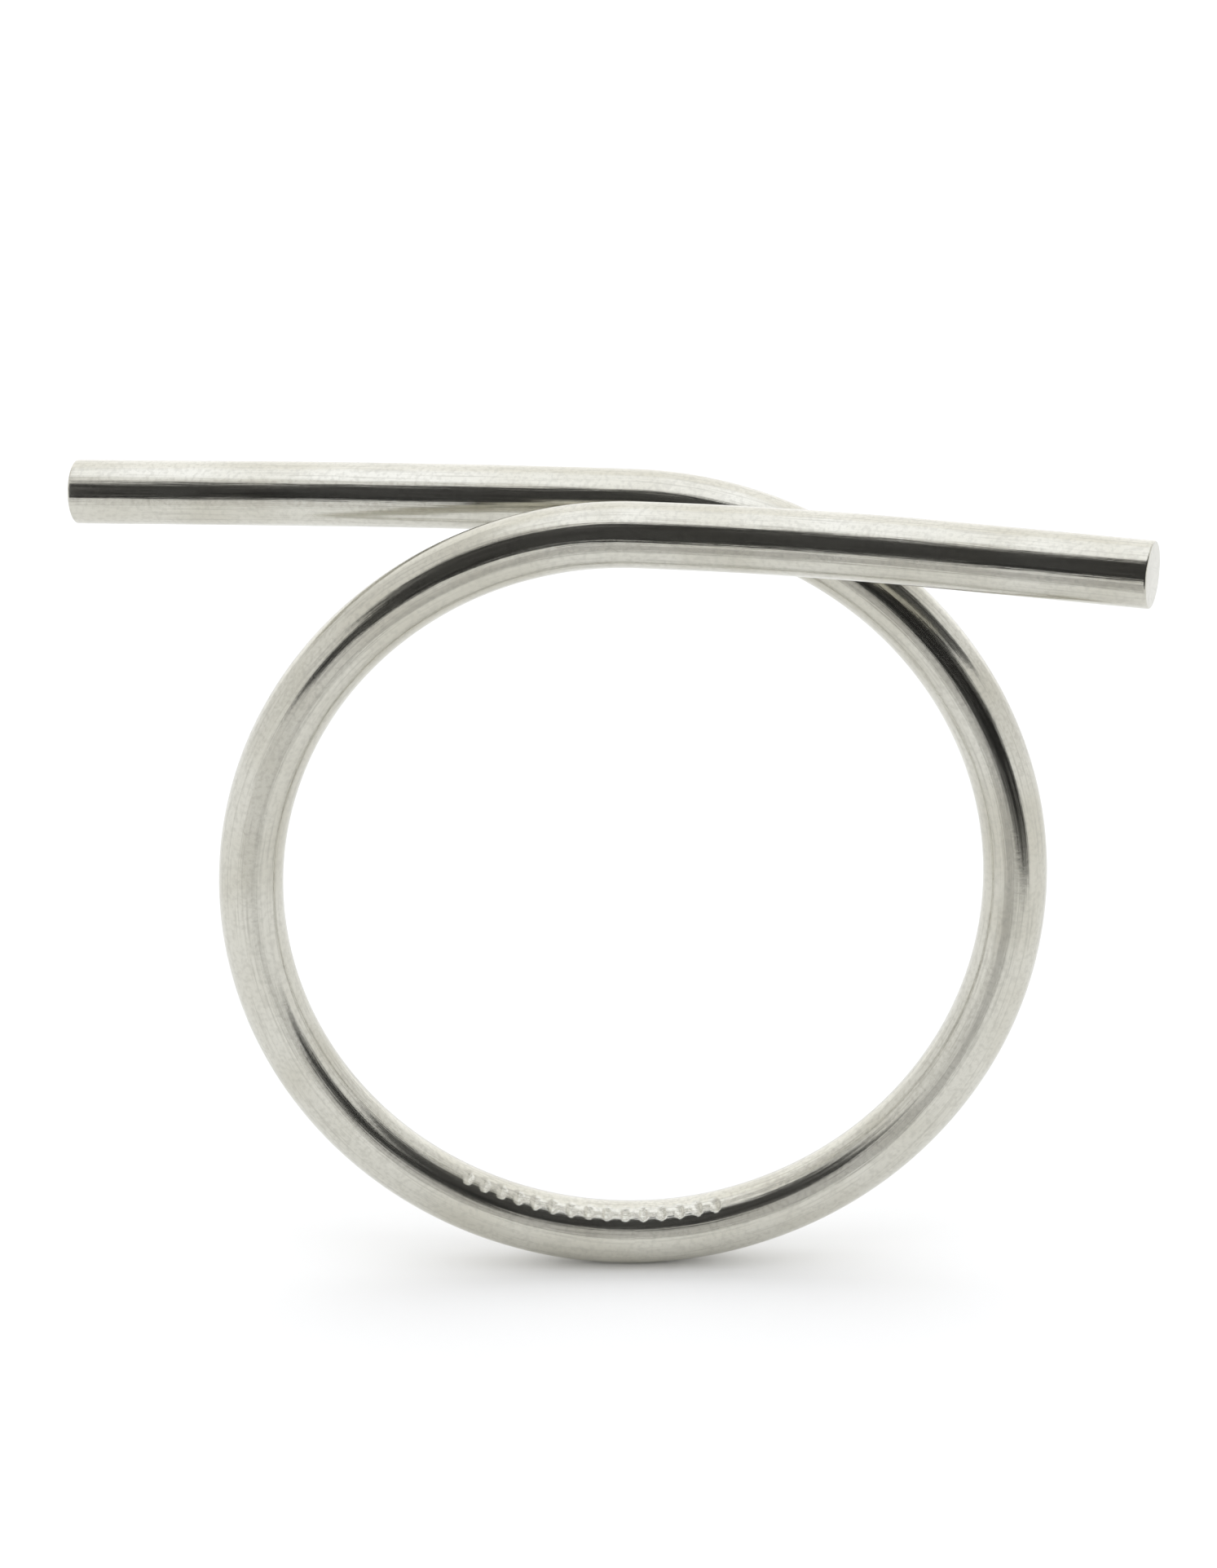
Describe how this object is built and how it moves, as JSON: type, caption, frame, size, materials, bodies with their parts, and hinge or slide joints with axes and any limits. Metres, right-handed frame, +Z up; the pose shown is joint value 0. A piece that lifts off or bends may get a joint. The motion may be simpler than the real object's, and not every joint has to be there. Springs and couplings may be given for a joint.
{
  "type": "crossover bar ring",
  "caption": "Polished round rod bent into an open finger loop whose two legs cross at the top and run out as straight bars.",
  "frame": {"origin": "centre of the finger hole, in the plane of the loop's lowest rod", "axes": "+Z up from the bottom of the loop to the crossing, +Y along the finger hole towards the rear leg, +X along the bars towards the front arm's bar"},
  "size_m": [0.0262, 0.0107, 0.0206],
  "materials": {
    "polished_rod": "mirror polished with fine drawing and polishing lines"
  },
  "bodies": {
    "rear_arm": {"rear_arm": "polished_rod"},
    "front_arm": {"front_arm": "polished_rod"}
  },
  "joints": [
    {"name": "loop_spring", "type": "hinge", "parent": "rear_arm", "child": "front_arm", "pos_m": [0, 0, -0.00955], "axis": [0, -1, 0], "range_deg": [-3, 5], "stiffness_Nm_per_rad": 1.09}
  ]
}
